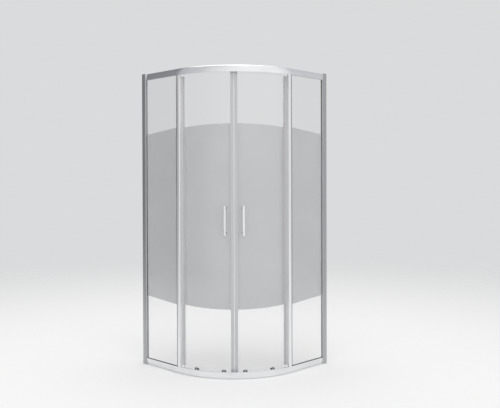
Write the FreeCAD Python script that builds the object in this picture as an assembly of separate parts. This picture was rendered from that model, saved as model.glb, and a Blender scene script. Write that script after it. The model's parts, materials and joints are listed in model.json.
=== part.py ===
import FreeCAD, Part
import math
import os
from FreeCAD import Vector

# Quarter-round corner shower enclosure, millimetres, +Z up.
# Built round the upright axis of the corner curve; the left half is drawn and
# the right half is its mirror image in the diagonal. "In" sizes are measured
# from the outer face of the wall profiles towards the room corner.

# Overall
side = 877.0
height = 1950.0
corner_radius = 526.0
leg = side - corner_radius
half_corner = 45.0
overrun = 5.0
glass_thickness = 5.0
fit_gap = 0.2
running_gap = 0.05
free_gap = 0.3

# Rails: one extrusion, used both ways up; rise is measured from the free edge
rail_height = 42.0
rail_depth = 35.5
rail_setback = 6.0
rail_wall = 2.0
rail_face_flat = 14.0
rail_face_radius = 80.0
rail_edge_radius = 6.0
rail_boss_height = 10.0
rail_lip_height = 2.5
rail_lip_width = 1.5
ledge_below_edge = 5.0
rail_inner = rail_setback + rail_depth
ledge_rise = rail_height - ledge_below_edge - rail_wall
cover_wall = 1.0
cover_barb = 0.8
cover_foot = 3.0
cover_recess = 0.5

# Fixed panes and their gaskets
gasket_thickness = 1.5
gasket_lip = 7.0
gasket_rail_lip = 4.0
gasket_wall_recess = 6.0
gasket_lip_round = 0.7
fixed_glass_setback = 5.0
fixed_glass_in = rail_setback + fixed_glass_setback
fixed_glass_back = fixed_glass_in + glass_thickness
mouth_in = fixed_glass_in - gasket_thickness
mouth_back = fixed_glass_back + gasket_thickness
nib_reach = 1.0
web_in = mouth_back + nib_reach
web_back = web_in + rail_wall
glass_edge_bed = 2.0
rail_glass_cover = 18.0
gasket_rail_height = rail_glass_cover + glass_edge_bed

# Wall profiles and side profiles
wall_profile_width = 31.0
wall_profile_wall = 1.8
wall_profile_round = 1.0
side_profile_wall = 1.6
side_profile_in = wall_profile_wall + fit_gap
side_profile_depth = 22.2
side_profile_back = side_profile_in + side_profile_depth
wall_profile_depth = side_profile_back + fit_gap + wall_profile_wall
side_profile_start = 12.0
side_profile_end = 36.0
side_slot_depth = 16.0
side_slot_floor = side_profile_end - side_slot_depth
wall_hole_radius = 3.0
wall_hole_end = 150.0
wall_hole_count = 4
wall_hole_spacing = (height - 2 * wall_hole_end) / (wall_hole_count - 1)
profile_cap_thickness = 2.5
profile_cap_gap = 0.4

# Screws of the frame
adjust_screw_radius = 2.0
adjust_head_radius = 3.8
adjust_head_height = 2.2
adjust_reach = 4.4
adjust_from_wall = 24.0
adjust_heights_shares = (0.14, 0.5, 0.86)
screw_gap = 0.05
cap_wall = 1.0
cap_round = 0.9
rail_screw_radius = 1.9
rail_screw_head_radius = 3.4
rail_screw_head_height = 2.2
rail_screw_grip = 22.0
rail_screw_in = 14.7
rail_screw_rise = 5.2

# Posts on the free edges of the fixed panes
post_width = 24.0
post_depth = 17.0
post_setback = 7.0
post_slot_depth = 8.0
post_wall = 1.6
post_round = 1.5
post_nose_radius = 4.0
post_back = post_setback + post_depth
fin_base_width = 6.0
fin_base_thickness = 1.0
fin_thickness = 1.6
seal_end_gap = 7.0

# Doors
door_glass_in = 46.0
door_glass_back = door_glass_in + glass_thickness
door_glass_outer_radius = corner_radius - door_glass_in
door_glass_inner_radius = corner_radius - door_glass_back
door_end_gap = 7.0
door_travel_angle = 26.0

# Leading-edge profile and magnetic seal; along is measured from the meeting line
meeting_gap = 0.3
magnet_head_end = 3.1
magnet_head_depth = 8.2
magnet_root_depth = 4.0
magnet_round = 1.2
edge_profile_start = 3.2
edge_profile_end = 22.0
edge_profile_wall = 1.5
edge_profile_gap = 0.7
edge_groove_depth = 3.2
edge_web = 1.6
edge_profile_round = 1.0
edge_slot_start = edge_profile_start + edge_groove_depth + edge_web
edge_slot_in = door_glass_in - edge_profile_gap
edge_slot_back = door_glass_back + edge_profile_gap
edge_profile_in = edge_slot_in - edge_profile_wall
edge_profile_back = edge_slot_back + edge_profile_wall
edge_middle = (edge_profile_in + edge_profile_back) / 2

# Trailing-edge seal
trail_seal_wall = 1.2
trail_seal_clip = 8.0
trail_lip_tip_in = 36.0
trail_fin_gap = 0.65
fin_tip_gap = 1.4

# Frosted bands; their edges slope from the front of the curve to the walls
band_low = 420.0
band_high = 1599.0
band_wall_low = 465.0
band_wall_high = 1541.0
band_thickness = 0.3
band_gap = 0.5
band_margin = 1.0

# Handles
handle_from_meeting = 55.0
handle_height = 185.0
handle_width = 14.5
handle_thickness = 8.0
handle_bow = 3.0
handle_stand_off = 31.0
handle_hole_spacing = 155.0
handle_middle_height = 984.0
handle_foot_radius = 6.0
handle_round = 2.2
handle_screw_radius = 2.5
handle_screw_grip = 16.0
handle_head_radius = 6.5
handle_head_height = 3.5
handle_head_round = 2.0
handle_washer_radius = 7.0
handle_washer_thickness = 1.0
handle_hole_radius = 4.0
handle_end_round = 1.4
handle_foot_end = door_glass_in - handle_washer_thickness
handle_bar_back = handle_foot_end - handle_stand_off

# Rollers; the angles are measured from the meeting line
roller_angles = (8.0, 30.0)
wheel_radius = 11.0
wheel_tread_width = 5.0
wheel_hub_width = 6.0
wheel_hub_radius = 4.5
wheel_rim_radius = 9.0
wheel_web_width = 3.4
wheel_tread_chamfer = 0.4
wheel_from_web = 5.0
axle_radius = 2.5
axle_collar_radius = 3.5
axle_end_radius = 3.6
axle_end_length = 1.2
axle_end_play = 0.1
wheel_middle_in = web_back + wheel_from_web
wheel_rise = ledge_rise - free_gap - wheel_radius
plate_from_rail = 0.8
plate_thickness = 3.3
plate_in = rail_inner + plate_from_rail
plate_back = plate_in + plate_thickness

# Top rollers
hub_flange_radius = 13.0
hub_shank_radius = 7.7
hub_hole_gap = 0.3
hub_eccentricity = 1.5
hub_cap_radius = 13.0
hub_cap_thickness = 5.5
hub_cap_round = 1.5
hub_slot_width = 1.6
hub_slot_depth = 1.5

# Bottom rollers
housing_width = 27.0
housing_low = 5.0
housing_high = 47.0
housing_round = 4.0
slider_slot_width = 9.0
slider_slot_floor = 8.0
slider_thickness = 2.9
slider_low = 19.5
slider_high = 51.0
slider_travel = 6.0
slider_round = 2.0
tongue_reach = 1.0
tongue_thickness = 1.2
tongue_below_button = 9.0
clamp_boss_radius = 3.5
clamp_boss_spacing = 18.0
clamp_boss_height = 37.0
clamp_hole_gap = 0.5
clamp_thickness = 3.0
clamp_height = 14.0
clamp_screw_radius = 1.8
clamp_head_radius = 3.2
clamp_head_height = 2.0
clamp_screw_grip = 5.5
spring_wire = 0.5
spring_outer = 2.9
spring_turns = 5
spring_sides = 6
spring_gap = 0.1

# Door stops
stop_length = 20.0
stop_height = 24.0
stop_gap = 0.8
stop_round = 3.0
stop_side_gap = 0.5

origin = Vector(0, 0, 0)
up = Vector(0, 0, 1)
diagonal = Vector(1, 1, 0)
inward = Vector(0, 1, 0)


# Outlines

def corner_arc(before, corner, after, radius):
    """Start, middle and end of the round that replaces a corner."""
    back = (before - corner).normalize()
    ahead = (after - corner).normalize()
    half = back.getAngle(ahead) / 2
    reach = radius / math.tan(half)
    middle_way = (back + ahead).normalize()
    centre = corner + middle_way * (radius / math.sin(half))
    return corner + back * reach, centre - middle_way * radius, corner + ahead * reach


def rounded_wire(points, place):
    """Closed wire through (a, b) points; a third number rounds that corner."""
    corners = [Vector(point[0], point[1], 0) for point in points]
    stops = []
    for index, point in enumerate(points):
        corner = corners[index]
        if len(point) > 2:
            before = corners[index - 1]
            after = corners[(index + 1) % len(corners)]
            stops.append(corner_arc(before, corner, after, point[2]))
        else:
            stops.append((corner, None, corner))
    edges = []
    for index, (start, middle, end) in enumerate(stops):
        before = stops[index - 1][2]
        edges.append(line(before, start, place))
        if middle is not None:
            edges.append(arc(start, middle, end, place))
    return Part.Wire(edges)


def line(start, end, place):
    return Part.makeLine(place(start.x, start.y), place(end.x, end.y))


def arc(start, middle, end, place):
    points = [place(point.x, point.y) for point in (start, middle, end)]
    return Part.Arc(*points).toShape()


def face_of(outer, holes=()):
    """Flat face inside one wire and outside the others."""
    face = Part.Face(outer)
    for hole in holes:
        face = face.cut(Part.Face(hole))
    return face.Faces[0]


def rectangle(low_a, low_b, high_a, high_b):
    return [(low_a, low_b), (high_a, low_b), (high_a, high_b), (low_a, high_b)]


# Places

def in_leg(z):
    """Plan place in the left leg: along from the wall, in from the outer face."""
    return lambda along, inside: Vector(along - leg, inside - corner_radius, z)


def past_leg(z):
    """Plan place where the leg runs into the curve."""
    return lambda along, inside: Vector(along, inside - corner_radius, z)


def on_door(z):
    """Plan place on a door, along from the meeting line towards the wall."""
    return lambda along, inside: Vector(-along, inside - corner_radius, z)


def upright(points, place_at, low, high, holes=()):
    """Straight upright piece with the given plan outline."""
    place = place_at(low)
    wires = [rounded_wire(hole, place) for hole in holes]
    face = face_of(rounded_wire(points, place), wires)
    return face.extrude(Vector(0, 0, high - low))


def turned_to(shape, angle):
    """Piece drawn at the curve's left end, moved to an angle from the meeting line."""
    moved = shape.copy()
    moved.rotate(origin, up, half_corner - angle)
    return moved


def mirrored(shape):
    return shape.mirror(origin, diagonal)


def rod(radius, start_in, end_in, along, z):
    """Round bar that points at the curve's axis."""
    base = on_door(z)(along, start_in)
    return Part.makeCylinder(radius, end_in - start_in, base, inward)


def block(low_along, low_in, low_z, high_along, high_in, high_z):
    points = rectangle(low_along, low_in, high_along, high_in)
    return upright(points, on_door, low_z, high_z)


def angle_of(distance, radius):
    return math.degrees(distance / radius)


def save(name, shapes):
    """Write one node, moved from the curve's axis to the middle of the base."""
    group = Part.makeCompound(shapes) if len(shapes) > 1 else shapes[0].copy()
    group.translate(Vector(side / 2 - corner_radius, corner_radius - side / 2, 0))
    group.exportStep("parts/" + name + ".step")


def save_pair(name, shapes):
    """Write a left node and its mirror image on the right."""
    save(name + "_left", shapes)
    save(name + "_right", [mirrored(shape) for shape in shapes])


def save_both(name, shapes):
    """Write left pieces and their mirror images in one node."""
    save(name, shapes + [mirrored(shape) for shape in shapes])


# Rails

def rail_steps():
    """Rail section as (inside, rise) steps; a middle point makes the step an arc."""
    turn_rise = rail_height - rail_face_flat
    span = rail_face_radius - rail_edge_radius
    turn = math.asin((turn_rise - rail_edge_radius) / span)
    centre_in = rail_setback + rail_face_radius

    def on_face(angle, radius):
        return (centre_in - radius * math.cos(angle), turn_rise - radius * math.sin(angle))

    edge_in = centre_in - span * math.cos(turn)
    between = (turn + math.pi / 2) / 2
    on_edge = (
        edge_in - rail_edge_radius * math.cos(between),
        rail_edge_radius * (1 - math.sin(between)),
    )
    skin_radius = rail_face_radius - rail_wall
    skin_turn = math.asin((turn_rise - rail_boss_height) / skin_radius)
    skin_in = rail_setback + rail_wall
    lip_in = rail_inner - rail_lip_width
    nib_rise = rail_height - rail_wall
    return [
        ((rail_setback, rail_height), None),
        ((rail_setback, turn_rise), None),
        (on_face(turn, rail_face_radius), on_face(turn / 2, rail_face_radius)),
        ((edge_in, 0), on_edge),
        ((rail_inner, 0), None),
        ((rail_inner, rail_wall), None),
        ((web_back, rail_wall), None),
        ((web_back, ledge_rise), None),
        ((lip_in, ledge_rise), None),
        ((lip_in, ledge_rise - rail_lip_height), None),
        ((rail_inner, ledge_rise - rail_lip_height), None),
        ((rail_inner, ledge_rise + rail_wall), None),
        ((web_back, ledge_rise + rail_wall), None),
        ((web_back, rail_height), None),
        ((mouth_back, rail_height), None),
        ((mouth_back, nib_rise), None),
        ((web_in, nib_rise), None),
        ((web_in, rail_boss_height), None),
        (on_face(skin_turn, skin_radius), None),
        ((skin_in, turn_rise), on_face(skin_turn / 2, skin_radius)),
        ((skin_in, nib_rise), None),
        ((mouth_in, nib_rise), None),
        ((mouth_in, rail_height), None),
    ]


def rail(z_of):
    """Bent rail: a quarter turn with a straight leg at each end."""
    def place(inside, rise):
        return Vector(0, inside - corner_radius, z_of(rise))

    steps = rail_steps()
    edges = []
    for index, (end, middle) in enumerate(steps):
        start = steps[index - 1][0]
        if middle is None:
            edges.append(Part.makeLine(place(*start), place(*end)))
        else:
            edges.append(Part.Arc(place(*start), place(*middle), place(*end)).toShape())
    centre = place(rail_screw_in, rail_screw_rise)
    port = Part.Wire([Part.makeCircle(rail_screw_radius + screw_gap, centre, Vector(1, 0, 0))])
    face = face_of(Part.Wire(edges), [port])
    bend = face.revolve(origin, up, 2 * half_corner)
    straight = face.extrude(Vector(side_profile_end - leg, 0, 0))
    return bend.fuse([straight, mirrored(straight)]).removeSplitter()


def slot_cover(z_of):
    """Clip-in strip that closes the rail's glass slot between the posts."""
    low = mouth_in + fit_gap
    high = mouth_back - fit_gap
    top = rail_height - cover_recess
    neck = rail_height - rail_wall - fit_gap
    foot = neck - cover_foot
    points = [
        (low, top),
        (high, top),
        (high, neck),
        (high + cover_barb, neck),
        (high, foot),
        (high - cover_wall, foot),
        (high - cover_wall, top - cover_wall),
        (low + cover_wall, top - cover_wall),
        (low + cover_wall, foot),
        (low, foot),
        (low - cover_barb, neck),
        (low, neck),
    ]

    def place(inside, rise):
        return Vector(0, inside - corner_radius, z_of(rise))

    start = half_corner - angle_of(post_width + free_gap, corner_radius - web_in)
    face = turned_to(face_of(rounded_wire(points, place)), start)
    return face.revolve(origin, up, 2 * start)


def top_z(rise):
    return height - rise


def bottom_z(rise):
    return rise


# Fixed side

def wall_profile():
    """Channel screwed to the wall, open towards the pane."""
    inner_leg = wall_profile_depth - wall_profile_wall
    points = [
        (0, 0),
        (wall_profile_width, 0, wall_profile_round / 2),
        (wall_profile_width, wall_profile_wall),
        (wall_profile_wall, wall_profile_wall),
        (wall_profile_wall, inner_leg),
        (wall_profile_width, inner_leg),
        (wall_profile_width, wall_profile_depth, wall_profile_round / 2),
        (0, wall_profile_depth),
    ]
    profile = upright(points, in_leg, 0, height)
    for index in range(wall_hole_count):
        z = wall_hole_end + index * wall_hole_spacing
        base = in_leg(z)(-overrun, wall_profile_depth / 2)
        length = wall_profile_wall + 2 * overrun
        profile = profile.cut(Part.makeCylinder(wall_hole_radius, length, base, Vector(1, 0, 0)))
    for z in adjust_heights():
        profile = profile.cut(adjust_hole(z, inner_leg))
    return profile


def adjust_heights():
    return [share * height for share in adjust_heights_shares]


def adjust_hole(z, start_in):
    base = in_leg(z)(adjust_from_wall, start_in - fit_gap)
    length = wall_profile_depth - start_in + overrun
    return Part.makeCylinder(adjust_screw_radius + screw_gap, length, base, inward)


def side_profile():
    """Profile that slides in the wall profile and holds the pane's wall edge."""
    inner_wall = side_profile_back - side_profile_wall
    outer_wall = side_profile_in + side_profile_wall
    back_of_floor = side_slot_floor - side_profile_wall
    points = [
        (side_profile_start, side_profile_in),
        (side_profile_end, side_profile_in, wall_profile_round),
        (side_profile_end, mouth_in),
        (side_slot_floor, mouth_in),
        (side_slot_floor, mouth_back),
        (side_profile_end, mouth_back),
        (side_profile_end, side_profile_back, wall_profile_round),
        (side_profile_start, side_profile_back),
        (side_profile_start, inner_wall),
        (back_of_floor, inner_wall),
        (back_of_floor, outer_wall),
        (side_profile_start, outer_wall),
    ]
    front = side_profile_end - side_profile_wall
    holes = [
        rectangle(side_slot_floor, outer_wall, front, mouth_in - side_profile_wall),
        rectangle(side_slot_floor, mouth_back + side_profile_wall, front, inner_wall),
    ]
    profile = upright(points, in_leg, 0, height, holes)
    for z in adjust_heights():
        profile = profile.cut(adjust_hole(z, inner_wall))
    for z in (top_z(rail_screw_rise), bottom_z(rail_screw_rise)):
        base = in_leg(z)(side_profile_start, rail_screw_in)
        reach = side_slot_floor + screw_gap - side_profile_start
        radius = rail_screw_radius + screw_gap
        profile = profile.cut(Part.makeCylinder(radius, reach, base, Vector(1, 0, 0)))
    return profile


def frame_screws():
    """Adjusting screws of the wall profile and end screws of the rails."""
    screws = []
    for z in adjust_heights():
        tip = in_leg(z)(adjust_from_wall, wall_profile_depth - adjust_reach)
        shank = Part.makeCylinder(adjust_screw_radius, adjust_reach, tip, inward)
        seat = in_leg(z)(adjust_from_wall, wall_profile_depth)
        head = Part.makeCylinder(adjust_head_radius, adjust_head_height, seat, inward)
        screws.append(shank.fuse(head).removeSplitter())
    along = Vector(1, 0, 0)
    back_of_floor = side_slot_floor - side_profile_wall
    for z in (top_z(rail_screw_rise), bottom_z(rail_screw_rise)):
        seat = in_leg(z)(back_of_floor - rail_screw_head_height, rail_screw_in)
        head = Part.makeCylinder(rail_screw_head_radius, rail_screw_head_height, seat, along)
        length = side_profile_end - back_of_floor + rail_screw_grip
        base = in_leg(z)(back_of_floor, rail_screw_in)
        shank = Part.makeCylinder(rail_screw_radius, length, base, along)
        screws.append(head.fuse(shank).removeSplitter())
    return screws


def screw_caps():
    """Round covers over the adjusting screws."""
    caps = []
    for z in adjust_heights():
        seat = in_leg(z)(adjust_from_wall, wall_profile_depth)
        radius = adjust_head_radius + fit_gap
        depth = adjust_head_height + fit_gap
        cap = Part.makeCylinder(radius + cap_wall, depth + cap_wall, seat, inward)
        rim = [edge for edge in cap.Edges if edge.BoundBox.YMin > seat.y + depth]
        cap = cap.makeFillet(cap_round, rim)
        caps.append(cap.cut(Part.makeCylinder(radius, depth, seat, inward)))
    return caps


def profile_cap():
    """Plug in the top end of the wall profile's channel."""
    low = wall_profile_wall + profile_cap_gap
    points = rectangle(low, low, side_profile_start - profile_cap_gap, wall_profile_depth - low)
    return upright(points, in_leg, height - profile_cap_thickness, height)


def fixed_glass():
    low = rail_height - rail_glass_cover
    start = side_slot_floor + glass_edge_bed
    end = leg + post_slot_depth - glass_edge_bed
    points = rectangle(start, fixed_glass_in, end, fixed_glass_back)
    return upright(points, in_leg, low, height - low)


def bowed(band):
    """Trims a band between two sloping planes, so that its edges bow as the rails do."""
    def place(front, z):
        reach = front / math.sqrt(2)
        return Vector(reach - side, -reach - side, z)

    wall_front = (corner_radius - leg) / math.sqrt(2)
    points = [
        (wall_front, band_wall_low),
        (corner_radius, band_low),
        (corner_radius, band_high),
        (wall_front, band_wall_high),
    ]
    zone = face_of(rounded_wire(points, place)).extrude(diagonal * (2 * side))
    return band.common(zone)


def fixed_band():
    """Frosted layer on the inside of the pane."""
    low_in = fixed_glass_back + band_gap
    start = side_profile_end + band_margin
    points = rectangle(start, low_in, leg - band_margin, low_in + band_thickness)
    return bowed(upright(points, in_leg, band_low, band_high))


def pocket_outline(open_end, floor, bed, lip_end):
    """Channel round a pane edge: open end, slot floor, bed under the edge, end of the outer lip."""
    return [
        (lip_end, mouth_in, gasket_lip_round),
        (floor, mouth_in),
        (floor, mouth_back),
        (open_end, mouth_back),
        (open_end, fixed_glass_back),
        (bed, fixed_glass_back),
        (bed, fixed_glass_in),
        (lip_end, fixed_glass_in),
    ]


def glazing_gaskets():
    """Soft channels on the four edges of a fixed pane."""
    low = rail_height - rail_glass_cover
    side_bed = side_slot_floor + glass_edge_bed
    wall_end = side_profile_end - gasket_wall_recess
    wall_edge = pocket_outline(wall_end, side_slot_floor, side_bed, wall_end)
    post_edge = pocket_outline(0, post_slot_depth, post_slot_depth - glass_edge_bed, -gasket_lip)
    lip_rise = rail_height + gasket_rail_lip
    pieces = [
        upright(wall_edge, in_leg, low, height - low),
        upright(post_edge, past_leg, lip_rise + fit_gap, height - rail_height),
    ]
    for z_of, lip_end in ((top_z, rail_height), (bottom_z, lip_rise)):
        rail_edge = pocket_outline(rail_height, rail_height - gasket_rail_height, low, lip_end)

        def place(rise, inside):
            return Vector(0, inside - corner_radius, z_of(rise))

        face = face_of(rounded_wire(rail_edge, place))
        pieces.append(face.extrude(Vector(side_profile_end - leg, 0, 0)))
    return pieces


def post():
    """Hollow post with a slot for the pane's free edge."""
    points = [
        (0, post_setback, post_round),
        (post_width, post_setback, post_nose_radius),
        (post_width, post_back, post_round),
        (0, post_back, post_round),
        (0, mouth_back),
        (post_slot_depth, mouth_back),
        (post_slot_depth, mouth_in),
        (0, mouth_in),
    ]
    inner_wall = post_back - post_wall
    slot_back = post_slot_depth + post_wall
    chamber = [
        (slot_back, post_setback + post_wall),
        (post_width - post_wall, post_setback + post_wall, post_nose_radius - post_wall),
        (post_width - post_wall, inner_wall),
        (slot_back, inner_wall),
    ]
    pocket = rectangle(post_wall, mouth_back + post_wall, post_slot_depth, inner_wall)
    return upright(points, past_leg, rail_height, height - rail_height, [chamber, pocket])


def post_fin():
    """Soft fin from the post towards the door glass."""
    fin_end = post_width - post_round
    fin_start = fin_end - fin_thickness
    base_start = fin_end - fin_base_width
    base_back = post_back + fin_base_thickness
    tip = door_glass_in - fin_tip_gap
    points = [
        (base_start, post_back),
        (fin_end, post_back),
        (fin_end, tip, fin_thickness / 4),
        (fin_start, tip, fin_thickness / 4),
        (fin_start, base_back),
        (base_start, base_back),
    ]
    low = slider_high + free_gap
    return upright(points, past_leg, low, height - low)


def trailing_angle():
    """Angle of the door glass's trailing edge from the meeting line."""
    fin_start = post_width - post_round - fin_thickness
    edge = fin_start - trail_fin_gap
    middle = door_glass_outer_radius - glass_thickness / 2
    return half_corner - math.degrees(math.asin(edge / middle))


# Doors

def door_glass():
    edge = rectangle(door_end_gap, door_glass_in, height - door_end_gap, door_glass_back)

    def place(z, inside):
        return Vector(0, inside - corner_radius, z)

    start = angle_of(edge_slot_start + edge_profile_gap, door_glass_outer_radius)
    face = turned_to(face_of(rounded_wire(edge, place)), start)
    pane = face.revolve(origin, Vector(0, 0, -1), trailing_angle() - start)
    return pane.cut(Part.makeCompound(door_holes()))


def outside_pane(piece):
    """The part of a piece that lies on the outer face of the curved panes."""
    return piece.cut(Part.makeCylinder(door_glass_outer_radius, height))


def inside_pane(piece):
    """The part of a piece that lies on the inner face of the curved panes."""
    return piece.common(Part.makeCylinder(door_glass_inner_radius, height))


def door_holes():
    """Holes of a door pane for its handle and its rollers."""
    start = door_glass_in - overrun
    end = door_glass_back + overrun
    holes = []
    for z in handle_hole_heights():
        holes.append(turned_to(rod(handle_hole_radius, start, end, 0, z), handle_angle()))
    for angle in roller_angles:
        radius = hub_shank_radius + hub_hole_gap
        holes.append(turned_to(rod(radius, start, end, 0, hub_z()), angle))
        for along in clamp_places():
            radius = clamp_boss_radius + clamp_hole_gap
            holes.append(turned_to(rod(radius, start, end, along, clamp_boss_height), angle))
    return holes


def door_band():
    """Frosted layer on the inside of the curved pane."""
    low_in = door_glass_back + band_gap
    edge = rectangle(band_low, low_in, band_high, low_in + band_thickness)

    def place(z, inside):
        return Vector(0, inside - corner_radius, z)

    start = angle_of(edge_profile_end + band_margin, door_glass_inner_radius)
    end = trailing_angle() - angle_of(trail_seal_clip + band_margin, door_glass_inner_radius)
    face = turned_to(face_of(rounded_wire(edge, place)), start)
    band = face.revolve(origin, Vector(0, 0, -1), end - start)
    start_in = door_glass_back - overrun
    radius = handle_washer_radius + fit_gap
    for z in handle_hole_heights():
        hole = rod(radius, start_in, door_glass_back + overrun, 0, z)
        band = band.cut(turned_to(hole, handle_angle()))
    return bowed(band)


def edge_profile():
    """Profile on the leading edge: glass slot one side, seal groove the other."""
    groove_floor = edge_profile_start + edge_groove_depth
    groove_in = edge_middle - magnet_root_depth / 2 - fit_gap
    groove_back = edge_middle + magnet_root_depth / 2 + fit_gap
    points = [
        (edge_profile_start, edge_profile_in, edge_profile_round),
        (edge_profile_end, edge_profile_in, edge_profile_wall / 2),
        (edge_profile_end, edge_slot_in),
        (edge_slot_start, edge_slot_in),
        (edge_slot_start, edge_slot_back),
        (edge_profile_end, edge_slot_back),
        (edge_profile_end, edge_profile_back, edge_profile_wall / 2),
        (edge_profile_start, edge_profile_back, edge_profile_round),
        (edge_profile_start, groove_back),
        (groove_floor, groove_back),
        (groove_floor, groove_in),
        (edge_profile_start, groove_in),
    ]
    profile = upright(points, on_door, door_end_gap, height - door_end_gap)
    return turned_to(profile, 0)


def magnetic_seal():
    """Magnet strip: a head that meets the other door and a root in the groove."""
    root_end = edge_profile_start + edge_groove_depth - fit_gap
    head_in = edge_middle - magnet_head_depth / 2
    head_back = edge_middle + magnet_head_depth / 2
    root_in = edge_middle - magnet_root_depth / 2
    root_back = edge_middle + magnet_root_depth / 2
    points = [
        (meeting_gap / 2, head_in, magnet_round),
        (magnet_head_end, head_in),
        (magnet_head_end, root_in),
        (root_end, root_in),
        (root_end, root_back),
        (magnet_head_end, root_back),
        (magnet_head_end, head_back),
        (meeting_gap / 2, head_back, magnet_round),
    ]
    return turned_to(upright(points, on_door, door_end_gap, height - door_end_gap), 0)


def trailing_seal():
    """Clip on the trailing edge with a lip that closes behind the post's fin."""
    clip_in = door_glass_in - fit_gap - trail_seal_wall
    clip_back = door_glass_back + fit_gap + trail_seal_wall
    slot_in = door_glass_in - fit_gap
    slot_back = door_glass_back + fit_gap
    edge = fit_gap
    points = [
        (-trail_seal_clip, clip_in),
        (edge, clip_in),
        (edge, trail_lip_tip_in, trail_seal_wall / 4),
        (edge + trail_seal_wall, trail_lip_tip_in, trail_seal_wall / 4),
        (edge + trail_seal_wall, clip_back),
        (-trail_seal_clip, clip_back),
        (-trail_seal_clip, slot_back),
        (edge, slot_back),
        (edge, slot_in),
        (-trail_seal_clip, slot_in),
    ]
    low = rail_height + seal_end_gap
    return turned_to(upright(points, on_door, low, height - low), trailing_angle())


# Handles

def handle_angle():
    return angle_of(handle_from_meeting, door_glass_outer_radius)


def handle_hole_heights():
    half = handle_hole_spacing / 2
    return (handle_middle_height - half, handle_middle_height + half)


def handle_bar():
    """Bar bent outwards in a shallow bow, with rounded ends."""
    half_width = handle_width / 2
    front = handle_bar_back - handle_thickness
    points = [
        (-half_width, front, handle_round),
        (half_width, front, handle_round),
        (half_width, handle_bar_back, handle_round),
        (-half_width, handle_bar_back, handle_round),
    ]
    section = face_of(rounded_wire(points, on_door(handle_middle_height)))
    half_height = handle_height / 2
    bend_radius = (half_height ** 2 + handle_bow ** 2) / (2 * handle_bow)
    bend = math.degrees(math.asin(half_height / bend_radius))
    centre = on_door(handle_middle_height)(0, front + bend_radius)
    section.rotate(centre, Vector(1, 0, 0), -bend)
    bar = section.revolve(centre, Vector(1, 0, 0), 2 * bend)
    ends = [face for face in bar.Faces if isinstance(face.Surface, Part.Plane)]
    ends.sort(key=lambda face: face.Area)
    edges = ends[0].Edges + ends[1].Edges
    return bar.makeFillet(handle_end_round, edges)


def handle():
    """Bar on two round feet, each with a screw hole."""
    feet = []
    holes = []
    start = handle_bar_back - handle_thickness / 2 + handle_bow
    for z in handle_hole_heights():
        feet.append(rod(handle_foot_radius, start, handle_foot_end, 0, z))
        hole_start = handle_foot_end - handle_screw_grip
        radius = handle_screw_radius + screw_gap
        holes.append(rod(radius, hole_start, handle_foot_end + overrun, 0, z))
    grip = handle_bar().fuse(feet).cut(Part.makeCompound(holes))
    return turned_to(grip, handle_angle())


def handle_screws():
    """Domed screws from the inside of the pane into the handle's feet."""
    seat = door_glass_back + handle_washer_thickness
    tip = door_glass_in - handle_washer_thickness - handle_screw_grip + screw_gap
    screws = []
    for z in handle_hole_heights():
        head = rod(handle_head_radius, seat, seat + handle_head_height, 0, z)
        top = seat + handle_head_height - corner_radius
        rim = [edge for edge in head.Edges if edge.BoundBox.YMin > top - running_gap]
        head = head.makeFillet(handle_head_round, rim)
        shank = rod(handle_screw_radius, tip, seat, 0, z)
        screws.append(turned_to(head.fuse(shank).removeSplitter(), handle_angle()))
    return screws


def handle_washers():
    """Soft washers on both faces of the pane."""
    washers = []
    for z in handle_hole_heights():
        start = door_glass_in - handle_washer_thickness
        end = door_glass_back + handle_washer_thickness
        ring = rod(handle_washer_radius, start, end, 0, z)
        ring = ring.cut(rod(handle_screw_radius + fit_gap, start, end, 0, z))
        for washer in (outside_pane(ring), inside_pane(ring)):
            washers.append(turned_to(washer, handle_angle()))
    return washers


# Rollers

def wheel_z(top):
    return top_z(wheel_rise) if top else bottom_z(wheel_rise)


def hub_z():
    return top_z(wheel_rise) + hub_eccentricity


def wheel(z):
    """Roller wheel with a thick rim, a thin web and a hub."""
    half_hub = wheel_hub_width / 2
    half_tread = wheel_tread_width / 2
    half_web = wheel_web_width / 2
    bore = axle_radius + running_gap
    shoulder = wheel_radius - wheel_tread_chamfer
    half = [
        (bore, half_hub),
        (wheel_hub_radius, half_hub),
        (wheel_hub_radius, half_web),
        (wheel_rim_radius, half_web),
        (wheel_rim_radius, half_tread),
        (shoulder, half_tread),
        (wheel_radius, half_tread - wheel_tread_chamfer),
    ]
    points = half + [(out, -across) for out, across in reversed(half)]

    def place(out, across):
        return Vector(0, wheel_middle_in + across - corner_radius, z + out)

    face = face_of(rounded_wire(points, place))
    return face.revolve(Vector(0, 0, z), inward, 360)


def axle(z, root_in):
    """Axle with a collar behind the wheel and a flange in front of it."""
    wheel_in = wheel_middle_in - wheel_hub_width / 2 - axle_end_play
    wheel_back = wheel_middle_in + wheel_hub_width / 2 + axle_end_play
    end = rod(axle_end_radius, wheel_in - axle_end_length, wheel_in, 0, z)
    pin = rod(axle_radius, wheel_in, wheel_back, 0, z)
    collar = rod(axle_collar_radius, wheel_back, root_in, 0, z)
    return end.fuse([pin, collar])


def top_hub():
    """Hub through the pane with the wheel's axle set off its middle."""
    flange = rod(hub_flange_radius, plate_in, plate_back, 0, hub_z())
    shank_end = door_glass_back + hub_cap_thickness / 2
    shank = rod(hub_shank_radius, plate_back, shank_end, 0, hub_z())
    return flange.fuse([shank, axle(wheel_z(True), plate_in)]).removeSplitter()


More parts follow.
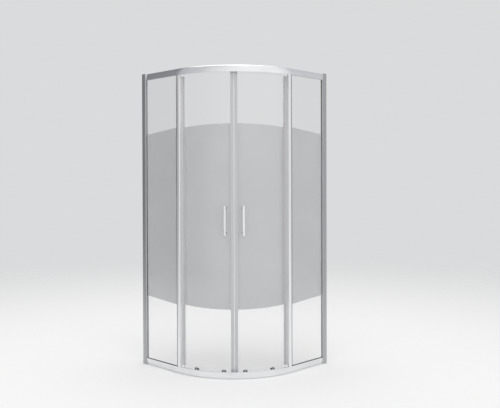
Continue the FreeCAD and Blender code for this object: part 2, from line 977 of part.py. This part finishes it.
def top_cap():
    """Round nut on the inside of the pane with a driver slot."""
    start = door_glass_back
    end = start + hub_cap_thickness
    cap = rod(hub_cap_radius, start, end, 0, hub_z())
    rim = [edge for edge in cap.Edges if edge.BoundBox.YMin > end - running_gap - corner_radius]
    cap = cap.makeFillet(hub_cap_round, rim)
    shank_end = door_glass_back + hub_cap_thickness / 2
    cap = cap.cut(rod(hub_shank_radius + screw_gap, start - fit_gap, shank_end + screw_gap, 0, hub_z()))
    half = hub_slot_width / 2
    slot = block(-hub_shank_radius, end - hub_slot_depth, hub_z() - half,
                 hub_shank_radius, end + overrun, hub_z() + half)
    return inside_pane(cap.cut(slot))


def clamp_places():
    return (-clamp_boss_spacing / 2, clamp_boss_spacing / 2)


def bottom_housing():
    """Plate outside the pane with a slider guide and two bosses through the pane."""
    half = housing_width / 2

    def place(along, z):
        return Vector(-along, plate_in - corner_radius, z)

    points = [
        (-half, housing_low, housing_round),
        (half, housing_low, housing_round),
        (half, housing_high, housing_round),
        (-half, housing_high, housing_round),
    ]
    plate = face_of(rounded_wire(points, place)).extrude(inward * plate_thickness)
    half_slot = slider_slot_width / 2
    slot = block(-half_slot, plate_in - overrun, slider_slot_floor,
                 half_slot, plate_back + overrun, housing_high + overrun)
    middle_in = (plate_in + plate_back) / 2
    half_groove = tongue_thickness / 2 + fit_gap
    groove_reach = half_slot + tongue_reach
    groove = block(-groove_reach, middle_in - half_groove, slider_low - slider_travel - 2 * fit_gap,
                   groove_reach, middle_in + half_groove, slider_high - tongue_below_button + fit_gap)
    plate = plate.cut(slot).cut(groove)
    for along in clamp_places():
        boss = rod(clamp_boss_radius, plate_back - running_gap, door_glass_back, along, clamp_boss_height)
        plate = plate.fuse(boss)
    start = door_glass_back - clamp_screw_grip
    for along in clamp_places():
        hole = rod(clamp_screw_radius + screw_gap, start, door_glass_back + overrun, along, clamp_boss_height)
        plate = plate.cut(hole)
    return plate.removeSplitter()


def bottom_clamp():
    """Backing plate on the inside of the pane."""
    start = door_glass_back
    half = housing_width / 2
    low = clamp_boss_height - clamp_height / 2
    high = clamp_boss_height + clamp_height / 2

    def place(along, z):
        return Vector(-along, start - corner_radius, z)

    points = [
        (-half, low, housing_round),
        (half, low, housing_round),
        (half, high, housing_round),
        (-half, high, housing_round),
    ]
    plate = face_of(rounded_wire(points, place)).extrude(inward * clamp_thickness)
    for along in clamp_places():
        hole = rod(clamp_screw_radius + screw_gap, start - overrun, start + clamp_thickness + overrun,
                   along, clamp_boss_height)
        plate = plate.cut(hole)
    return inside_pane(plate)


def clamp_screws():
    seat = door_glass_back + clamp_thickness
    tip = door_glass_back - clamp_screw_grip + screw_gap
    screws = []
    for along in clamp_places():
        head = rod(clamp_head_radius, seat, seat + clamp_head_height, along, clamp_boss_height)
        shank = rod(clamp_screw_radius, tip, seat, along, clamp_boss_height)
        screws.append(head.fuse(shank).removeSplitter())
    return screws


def slider():
    """Release slider: button on top, tongues in the guide, axle for the wheel."""
    half = slider_slot_width / 2 - fit_gap
    middle_in = (plate_in + plate_back) / 2
    front = middle_in - slider_thickness / 2
    back = middle_in + slider_thickness / 2

    def place(along, z):
        return Vector(-along, front - corner_radius, z)

    points = [
        (-half, slider_low),
        (half, slider_low),
        (half, slider_high, slider_round),
        (-half, slider_high, slider_round),
    ]
    body = face_of(rounded_wire(points, place)).extrude(inward * slider_thickness)
    reach = half + tongue_reach
    half_tongue = tongue_thickness / 2
    tongue = block(-reach, middle_in - half_tongue, slider_low,
                   reach, middle_in + half_tongue, slider_high - tongue_below_button)
    return body.fuse([tongue, axle(wheel_z(False), (front + back) / 2)]).removeSplitter()


def spring():
    """Coil under the slider, in half turns that each climb half a pitch."""
    low = slider_slot_floor + spring_gap
    high = slider_low - spring_gap
    radius = (spring_outer - spring_wire) / 2
    climb = (high - low - spring_wire) / (2 * spring_turns)
    middle_in = (plate_in + plate_back) / 2
    start = on_door(low + spring_wire / 2)(radius, middle_in)
    turns = [2 * math.pi * corner / spring_sides for corner in range(spring_sides + 1)]
    ring = [Vector(math.cos(turn), 0, math.sin(turn)) * (spring_wire / 2) for turn in turns]
    section = Part.Face(Part.makePolygon([start + point for point in ring]))
    pieces = []
    for half_turn in range(2 * spring_turns):
        way = 1 if half_turn % 2 == 0 else -1
        end = start + Vector(way * 2 * radius, 0, climb)
        middle = (start + end) * (1 / 2)
        axis = (end - start).cross(inward) * way
        pieces.append(section.revolve(middle, axis, 180))
        section = section.copy()
        section.rotate(middle, axis, 180)
        start = end
    return pieces[0].fuse(pieces[1:]).removeSplitter()


def door_stop(z_of):
    """Rubber block in the rail where the trailing wheel ends its travel."""
    past = math.radians(roller_angles[-1] + door_travel_angle - half_corner)
    reach = (corner_radius - wheel_middle_in) * math.sin(past) + wheel_radius + stop_gap
    low = ledge_rise - stop_height
    inside = web_back + stop_side_gap
    back = rail_inner - rail_lip_width - stop_side_gap

    def place(along, rise):
        return Vector(-along, inside - corner_radius, z_of(rise))

    points = [
        (reach, low, stop_round),
        (reach + stop_length, low, stop_round),
        (reach + stop_length, ledge_rise),
        (reach, ledge_rise),
    ]
    return face_of(rounded_wire(points, place)).extrude(inward * (back - inside))


def at_rollers(piece):
    return [turned_to(piece, angle) for angle in roller_angles]


def main():
    os.makedirs("parts", exist_ok=True)
    save("top_rail", [rail(top_z)])
    save("bottom_rail", [rail(bottom_z)])
    save("slot_covers", [slot_cover(top_z), slot_cover(bottom_z)])
    save_pair("wall_profile", [wall_profile()])
    save_pair("side_profile", [side_profile()])
    save_pair("post", [post()])
    save_pair("fixed_glass", [fixed_glass()])
    save_both("fixed_frosted_bands", [fixed_band()])
    save_both("glazing_gaskets", glazing_gaskets())
    save_both("post_seal_fins", [post_fin()])
    save_both("frame_screws", frame_screws())
    save_both("screw_caps", screw_caps())
    save_both("profile_caps", [profile_cap()])
    save_both("door_stops", [door_stop(top_z), door_stop(bottom_z)])
    save_pair("door_glass", [door_glass()])
    save_pair("door_frosted_band", [door_band()])
    save_pair("door_edge_profile", [edge_profile()])
    save_pair("magnetic_seal", [magnetic_seal()])
    save_pair("trailing_seal", [trailing_seal()])
    save_pair("handle", [handle()])
    save_pair("handle_screws", handle_screws())
    save_pair("handle_washers", handle_washers())
    save_pair("top_roller_hubs", at_rollers(top_hub()))
    save_pair("top_roller_caps", at_rollers(top_cap()))
    save_pair("bottom_roller_housings", at_rollers(bottom_housing()))
    save_pair("bottom_roller_clamps", at_rollers(bottom_clamp()))
    screws = [screw for piece in clamp_screws() for screw in at_rollers(piece)]
    save_pair("bottom_roller_screws", screws)
    for name, angle in zip(("lead", "trail"), roller_angles):
        save_pair("top_wheel_" + name, [turned_to(wheel(wheel_z(True)), angle)])
        save_pair("bottom_wheel_" + name, [turned_to(wheel(wheel_z(False)), angle)])
        save_pair("release_slider_" + name, [turned_to(slider(), angle)])
        save_pair("release_spring_" + name, [turned_to(spring(), angle)])


main()
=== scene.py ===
import json
import math

import bmesh
import bpy
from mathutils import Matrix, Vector


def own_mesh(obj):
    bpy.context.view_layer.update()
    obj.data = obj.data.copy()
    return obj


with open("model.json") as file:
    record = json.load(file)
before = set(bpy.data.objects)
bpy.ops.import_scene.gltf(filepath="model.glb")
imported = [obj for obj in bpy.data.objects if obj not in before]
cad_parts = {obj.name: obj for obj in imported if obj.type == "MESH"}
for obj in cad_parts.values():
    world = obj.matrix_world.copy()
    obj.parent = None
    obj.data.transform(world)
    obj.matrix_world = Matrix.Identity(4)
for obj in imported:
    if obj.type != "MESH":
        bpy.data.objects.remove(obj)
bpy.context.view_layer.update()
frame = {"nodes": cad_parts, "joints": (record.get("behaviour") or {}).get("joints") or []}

# Quarter-round corner shower enclosure in metres, +Z up. The room corner that it
# stands in is at -X +Y, and the doors meet on the diagonal that points to +X -Y.
pieces = frame["nodes"]
diagonal = Vector((1, -1, 0)).normalized()
aside = Vector((1, 1, 0)).normalized()
mm = 0.001


def linear(hex_colour):
    """An sRGB hex value as the linear colour that a socket takes."""
    shares = [int(hex_colour[i:i + 2], 16) / 255 for i in (1, 3, 5)]
    lit = [s / 12.92 if s <= 0.04045 else ((s + 0.055) / 1.055) ** 2.4 for s in shares]
    return lit + [1]


def add(tree, kind, inputs=(), **settings):
    """Adds a node; each input is a value or the output that feeds it."""
    node = tree.nodes.new(kind)
    for name, value in settings.items():
        setattr(node, name, value)
    for name, value in dict(inputs).items():
        if isinstance(value, bpy.types.NodeSocket):
            tree.links.new(value, node.inputs[name])
        else:
            node.inputs[name].default_value = value
    return node


def show(tree, shader):
    """Makes a shader the one that the surface shows."""
    surface = tree.nodes["Material Output"].inputs["Surface"]
    tree.links.new(shader.outputs[0], surface)


def finish(name, colour, **sockets):
    """A material whose even values sit on the shader's own sockets."""
    material = bpy.data.materials.new(name)
    material.use_nodes = True
    shader = material.node_tree.nodes["Principled BSDF"]
    shader.inputs["Base Color"].default_value = linear(colour)
    for socket, value in sockets.items():
        shader.inputs[socket.replace("_", " ")].default_value = value
    return material, material.node_tree, shader


def cells(tree, sizes, detail=2):
    """Noise whose grains measure the given sizes along X, Y and Z."""
    place = add(tree, "ShaderNodeTexCoord").outputs["Object"]
    per_metre = [1 / size for size in sizes]
    scaled = add(tree, "ShaderNodeMapping", {"Vector": place, "Scale": per_metre})
    grain = {"Vector": scaled.outputs[0], "Scale": 1, "Detail": detail}
    return add(tree, "ShaderNodeTexNoise", grain).outputs[0]


# Nearly all of a noise lies between these two values.
noise_low, noise_high = 0.3, 0.7


def spread(tree, source, low, high):
    """The middle of a noise, stretched between two values."""
    reach = {"From Min": noise_low, "From Max": noise_high, "To Min": low, "To Max": high}
    return add(tree, "ShaderNodeMapRange", {"Value": source, **reach}).outputs[0]


def roughen(tree, shader, source, low, high):
    """Roughness that drifts between two values."""
    tree.links.new(spread(tree, source, low, high), shader.inputs["Roughness"])


def tint(tree, shader, source, first, second):
    """Colour that drifts between two near tones."""
    drift = spread(tree, source, 0, 1)
    mix = add(tree, "ShaderNodeMix", {"Factor": drift}, data_type="RGBA")
    mix.inputs["A"].default_value = linear(first)
    mix.inputs["B"].default_value = linear(second)
    tree.links.new(mix.outputs["Result"], shader.inputs["Base Color"])


def raise_surface(tree, shader, source, depth, strength=1):
    """Fine relief of the given depth."""
    relief = {"Height": source, "Distance": depth, "Strength": strength}
    bump = add(tree, "ShaderNodeBump", relief)
    tree.links.new(bump.outputs[0], shader.inputs["Normal"])


def pass_light(tree, shader, colour, share):
    """Lets a share of the light behind a thin piece glow through it."""
    through = add(tree, "ShaderNodeBsdfTranslucent", {"Color": linear(colour)})
    layers = {0: share, 1: shader.outputs[0], 2: through.outputs[0]}
    show(tree, add(tree, "ShaderNodeMixShader", layers))


# Finishes

# A real bar's die lines are finer; these are as coarse as they need to be to show.
upright_lines = [1.5 * mm, 1.5 * mm, 400 * mm]
level_lines = [400 * mm, 400 * mm, 1.5 * mm]


def polished_extrusion(name):
    """Aluminium extrusion, polished and bright anodised: a soft mirror that
    smears what it shows along the bar, from faint lines left by the die."""
    material, tree, shader = finish(name, "#EEEFF1", Metallic=1, Roughness=0.16)
    lines = cells(tree, level_lines, detail=3)
    roughen(tree, shader, lines, 0.13, 0.21)
    raise_surface(tree, shader, lines, 0.01 * mm, 0.35)
    tint(tree, shader, cells(tree, [160 * mm] * 3), "#EAEBED", "#F2F3F5")
    return material


def satin_extrusion(name, light, dark, roughness):
    """Aluminium extrusion, etched and silver anodised: an even grey sheen with
    no clear reflection and a fine grain along the bar."""
    material, tree, shader = finish(name, light, Metallic=1, Roughness=roughness)
    lines = cells(tree, upright_lines, detail=4)
    roughen(tree, shader, lines, roughness * 0.9, roughness * 1.2)
    raise_surface(tree, shader, lines, 0.02 * mm, 0.2)
    tint(tree, shader, lines, dark, light)
    return material


def toughened_glass(name):
    """Clear toughened float glass: near colourless, with a slight level wave
    left by the rollers of the furnace, drawn four times as deep as it is."""
    material, tree, shader = finish(name, "#FBFBFB", Roughness=0, IOR=1.52)
    shader.inputs["Transmission Weight"].default_value = 1
    wave = cells(tree, [900 * mm, 900 * mm, 240 * mm], detail=0)
    raise_surface(tree, shader, wave, 0.4 * mm)
    # Light on its way from the lamp or off a matt face goes straight through.
    ray = add(tree, "ShaderNodeLightPath").outputs
    rays = {0: ray["Is Shadow Ray"], 1: ray["Is Diffuse Ray"]}
    lit = add(tree, "ShaderNodeMath", rays, operation="MAXIMUM")
    clear = add(tree, "ShaderNodeBsdfTransparent", {"Color": linear("#F8F8F8")})
    layers = {0: lit.outputs[0], 1: shader.outputs[0], 2: clear.outputs[0]}
    show(tree, add(tree, "ShaderNodeMixShader", layers))
    return material


def frosted_layer(name):
    """Etched-look layer on the back of the panes: an even, matt grey veil that
    lets light through and no shapes, with a fine grit drawn at 2 mm to show."""
    material, tree, shader = finish(name, "#DEDFE0", Roughness=0.7, IOR=1.45)
    grit = cells(tree, [2 * mm] * 3, detail=3)
    roughen(tree, shader, grit, 0.62, 0.78)
    raise_surface(tree, shader, grit, 0.02 * mm, 0.3)
    tint(tree, shader, cells(tree, [260 * mm] * 3), "#DBDCDD", "#E1E2E3")
    pass_light(tree, shader, "#EAEAEB", 0.45)
    return material


def plated(name, colour, roughness):
    """Bright chrome on a polished or cast base: a clear mirror with a faint
    orange-peel wave a few millimetres across."""
    material, tree, shader = finish(name, colour, Metallic=1, Roughness=roughness)
    haze = cells(tree, [24 * mm] * 3)
    roughen(tree, shader, haze, roughness * 0.7, roughness * 1.4)
    raise_surface(tree, shader, cells(tree, [5 * mm] * 3, detail=1), 0.008 * mm, 0.3)
    return material


def stainless_steel(name):
    """Turned stainless steel: grey, with tool marks half a millimetre apart."""
    material, tree, shader = finish(name, "#B7B6B3", Metallic=1, Roughness=0.28)
    marks = cells(tree, [0.5 * mm] * 3, detail=3)
    roughen(tree, shader, marks, 0.22, 0.38)
    raise_surface(tree, shader, marks, 0.01 * mm, 0.5)
    return material


def moulded(name, colour, second, roughness, grain):
    """Injection-moulded plastic: matt, with the spark-eroded grain of its mould."""
    material, tree, shader = finish(name, colour, Roughness=roughness, IOR=1.5)
    pores = cells(tree, [grain] * 3, detail=3)
    roughen(tree, shader, pores, roughness * 0.85, roughness * 1.2)
    raise_surface(tree, shader, pores, 0.03 * mm, 0.5)
    tint(tree, shader, cells(tree, [12 * mm] * 3), colour, second)
    return material


def rubber_gasket(name):
    """Extruded EPDM: dark, dull, with a dusty bloom in soft streaks."""
    material, tree, shader = finish(name, "#2C2D2F", Roughness=0.6, IOR=1.5)
    bloom = cells(tree, [3 * mm, 3 * mm, 60 * mm], detail=4)
    roughen(tree, shader, bloom, 0.5, 0.72)
    tint(tree, shader, bloom, "#262729", "#353638")
    raise_surface(tree, shader, cells(tree, [0.8 * mm] * 3), 0.02 * mm, 0.4)
    return material


def milky_strip(name):
    """Extruded soft PVC: milky, smooth, lit through, with faint flow lines."""
    material, tree, shader = finish(name, "#ECECED", Roughness=0.34, IOR=1.53)
    flow = cells(tree, [1.2 * mm, 1.2 * mm, 400 * mm], detail=1)
    roughen(tree, shader, flow, 0.3, 0.38)
    tint(tree, shader, flow, "#E9E9EA", "#EFEFF0")
    pass_light(tree, shader, "#F4F4F5", 0.5)
    return material


def magnet_strip(name):
    """Pale grey PVC over a magnet core: satin, opaque, with flow lines."""
    material, tree, shader = finish(name, "#E6E7E8", Roughness=0.4, IOR=1.53)
    flow = cells(tree, [1 * mm, 1 * mm, 90 * mm], detail=3)
    roughen(tree, shader, flow, 0.32, 0.5)
    tint(tree, shader, flow, "#E0E1E2", "#ECEDEE")
    raise_surface(tree, shader, flow, 0.02 * mm, 0.4)
    return material


def both(*names):
    """The pieces of these names on the left and on the right."""
    return [name + side for name in names for side in ("_left", "_right")]


def wheels(*names):
    """The pieces of these names at all four roller places."""
    return both(*[name + end for name in names for end in ("_lead", "_trail")])


def dress_the_pieces():
    dressed = [
        (polished_extrusion("polished_aluminium"),
         ["top_rail", "bottom_rail", "slot_covers"]),
        # The wall and side profiles are one aluminium in two tones: the wall profiles
        # darker as painted shade from the wall beside them, the side profiles paler as
        # painted light on their faces turned from it.
        (satin_extrusion("aluminium_with_painted_shade", "#BCBDBF", "#B2B3B5", 0.34),
         both("wall_profile")),
        (satin_extrusion("aluminium_with_painted_light", "#DCDDDE", "#D4D5D6", 0.34),
         both("side_profile")),
        (satin_extrusion("bright_anodised_aluminium", "#F8F8F9", "#F1F2F3", 0.4),
         both("post")),
        (satin_extrusion("silver_anodised_aluminium", "#CCCDCF", "#C2C3C5", 0.4),
         both("door_edge_profile")),
        (toughened_glass("clear_toughened_glass"),
         both("fixed_glass", "door_glass")),
        (frosted_layer("frosted_layer"),
         ["fixed_frosted_bands"] + both("door_frosted_band")),
        (rubber_gasket("epdm_rubber"),
         ["glazing_gaskets", "door_stops"] + both("handle_washers")),
        (milky_strip("milky_pvc"),
         ["post_seal_fins"] + both("trailing_seal")),
        (magnet_strip("magnet_strip_pvc"),
         both("magnetic_seal")),
        (plated("bright_chrome", "#E8EAEC", 0.06),
         both("handle")),
        (plated("chromed_zinc", "#CFD1D3", 0.16),
         both("top_roller_hubs")),
        (stainless_steel("turned_stainless_steel"),
         ["frame_screws"] + both("handle_screws", "bottom_roller_screws")
         + wheels("release_spring")),
        (moulded("dark_grey_abs", "#55575A", "#4C4E51", 0.42, 0.8 * mm),
         both("bottom_roller_housings", "bottom_roller_clamps")),
        (moulded("light_grey_abs", "#B4B6B8", "#A8AAAC", 0.4, 0.8 * mm),
         wheels("release_slider")),
        (moulded("white_acetal", "#E4E3DE", "#DAD9D3", 0.34, 0.6 * mm),
         wheels("top_wheel", "bottom_wheel")),
        (moulded("silver_grey_abs", "#BFC1C3", "#B5B7B9", 0.36, 0.8 * mm),
         ["screw_caps", "profile_caps"] + both("top_roller_caps")),
    ]
    for material, names in dressed:
        for name in names:
            pieces[name].material_slots[0].material = material


def squeeze_the_springs():
    """Gives each release spring that a joint deforms its own copy of its mesh."""
    for joint in frame["joints"]:
        for spring in joint.get("deforming_nodes", []):
            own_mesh(pieces[spring["node"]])


# Room

# Tone of the room by how far a direction points along the diagonal: pale behind
# the enclosure, greyer at its left and a little at its right, white in front.
left_tones = [(-0.75, "#DADBDC"), (-0.35, "#86878A"), (-0.06, "#86878A"),
              (0.06, "#BEBFC1"), (0.6, "#CECFD0"), (1, "#F6F6F6")]
right_tones = [(-0.75, "#DADBDC"), (-0.35, "#C6C7C9"), (-0.06, "#CFD0D2"),
               (0.06, "#E8E8E9"), (0.4, "#FFFFFF"), (1, "#FFFFFF")]
left_ends, right_starts = -0.4, 0.4
ceiling_tone = "#FAFAFA"
walls_end, ceiling_starts = 0.6, 0.95

floor_radius, floor_sides = 9, 96
fade_starts, fade_ends = 1.5, 7

lamp_place, lamp_size, lamp_power = (0.4, -0.8, 5.6), 6, 105
lamp_aim = Vector((0, 0, 0.9))

# Camera: its place from the room corner at floor level, then how it is held.
room_corner = Vector((-0.4385, 0.4385, 0))
camera_distance, camera_aside, camera_height = 5.3636, 0.0348, 1.2222
camera_turn = [math.radians(angle) for angle in (89.259, 0.174, 45)]


def pale_studio():
    world = bpy.data.worlds.new("pale_studio")
    bpy.context.scene.world = world
    world.use_nodes = True
    tree = world.node_tree
    way = add(tree, "ShaderNodeTexCoord").outputs["Generated"]
    ways = {0: way, 1: diagonal}
    ahead = add(tree, "ShaderNodeVectorMath", ways, operation="DOT_PRODUCT")
    reach = {"Value": ahead.outputs["Value"], "From Min": -1}
    share = add(tree, "ShaderNodeMapRange", reach)
    halves = []
    for tones in (left_tones, right_tones):
        ramp = add(tree, "ShaderNodeValToRGB", {0: share.outputs[0]})
        stops = ramp.color_ramp.elements
        while len(stops) < len(tones):
            stops.new(1)
        for stop, (toward, tone) in zip(stops, tones):
            stop.position = (toward + 1) / 2
            stop.color = linear(tone)
        halves.append(ramp.outputs[0])
    ways = {0: way, 1: aside}
    across = add(tree, "ShaderNodeVectorMath", ways, operation="DOT_PRODUCT")
    reach = {"Value": across.outputs["Value"],
             "From Min": left_ends, "From Max": right_starts}
    turn = add(tree, "ShaderNodeMapRange", reach, interpolation_type="SMOOTHSTEP")
    level = add(tree, "ShaderNodeMix", {"Factor": turn.outputs[0]}, data_type="RGBA")
    tree.links.new(halves[0], level.inputs["A"])
    tree.links.new(halves[1], level.inputs["B"])
    rise = add(tree, "ShaderNodeSeparateXYZ", {0: way})
    reach = {"Value": rise.outputs["Z"],
             "From Min": walls_end, "From Max": ceiling_starts}
    above = add(tree, "ShaderNodeMapRange", reach, interpolation_type="SMOOTHSTEP")
    sky = add(tree, "ShaderNodeMix", {"Factor": above.outputs[0]}, data_type="RGBA")
    tree.links.new(level.outputs["Result"], sky.inputs["A"])
    sky.inputs["B"].default_value = linear(ceiling_tone)
    tree.links.new(sky.outputs["Result"], tree.nodes["Background"].inputs["Color"])


def pale_floor():
    """Round floor that fades into the room at its rim."""
    mesh = bpy.data.meshes.new("floor")
    shape = bmesh.new()
    bmesh.ops.create_circle(shape, cap_ends=True,
                            segments=floor_sides, radius=floor_radius)
    shape.to_mesh(mesh)
    shape.free()
    floor = bpy.data.objects.new("floor", mesh)
    bpy.context.scene.collection.objects.link(floor)
    material = bpy.data.materials.new("pale_floor")
    material.use_nodes = True
    tree = material.node_tree
    paint = add(tree, "ShaderNodeBsdfDiffuse", {"Color": linear("#F6F6F5")})
    clear = add(tree, "ShaderNodeBsdfTransparent")
    place = add(tree, "ShaderNodeTexCoord").outputs["Object"]
    out = add(tree, "ShaderNodeVectorMath", {0: place}, operation="LENGTH")
    reach = {"Value": out.outputs["Value"],
             "From Min": fade_starts, "From Max": fade_ends}
    rim = add(tree, "ShaderNodeMapRange", reach, interpolation_type="SMOOTHSTEP")
    layers = {0: rim.outputs[0], 1: paint.outputs[0], 2: clear.outputs[0]}
    show(tree, add(tree, "ShaderNodeMixShader", layers))
    mesh.materials.append(material)


def soft_lamp():
    """One wide lamp above, turned to the enclosure's middle."""
    lamp = bpy.data.lights.new("lamp_above", "AREA")
    lamp.size = lamp_size
    lamp.energy = lamp_power
    holder = bpy.data.objects.new("lamp_above", lamp)
    bpy.context.scene.collection.objects.link(holder)
    holder.location = lamp_place
    shine = lamp_aim - Vector(lamp_place)
    holder.rotation_euler = shine.to_track_quat("-Z", "Y").to_euler()


def photo_camera():
    """Camera near the diagonal, tilted down by less than a degree and rolled by
    about a sixth of one."""
    camera = bpy.data.objects.new("camera", bpy.data.cameras.new("camera"))
    bpy.context.scene.collection.objects.link(camera)
    below = room_corner + diagonal * camera_distance + aside * camera_aside
    camera.location = below + Vector((0, 0, camera_height))
    camera.rotation_euler = camera_turn
    camera.data.sensor_width = 36
    camera.data.lens = 50.655
    camera.data.shift_x = 0.0207
    camera.data.shift_y = -0.025
    bpy.context.scene.camera = camera


bpy.context.scene.view_settings.view_transform = "Standard"
dress_the_pieces()
squeeze_the_springs()
pale_studio()
pale_floor()
soft_lamp()
photo_camera()
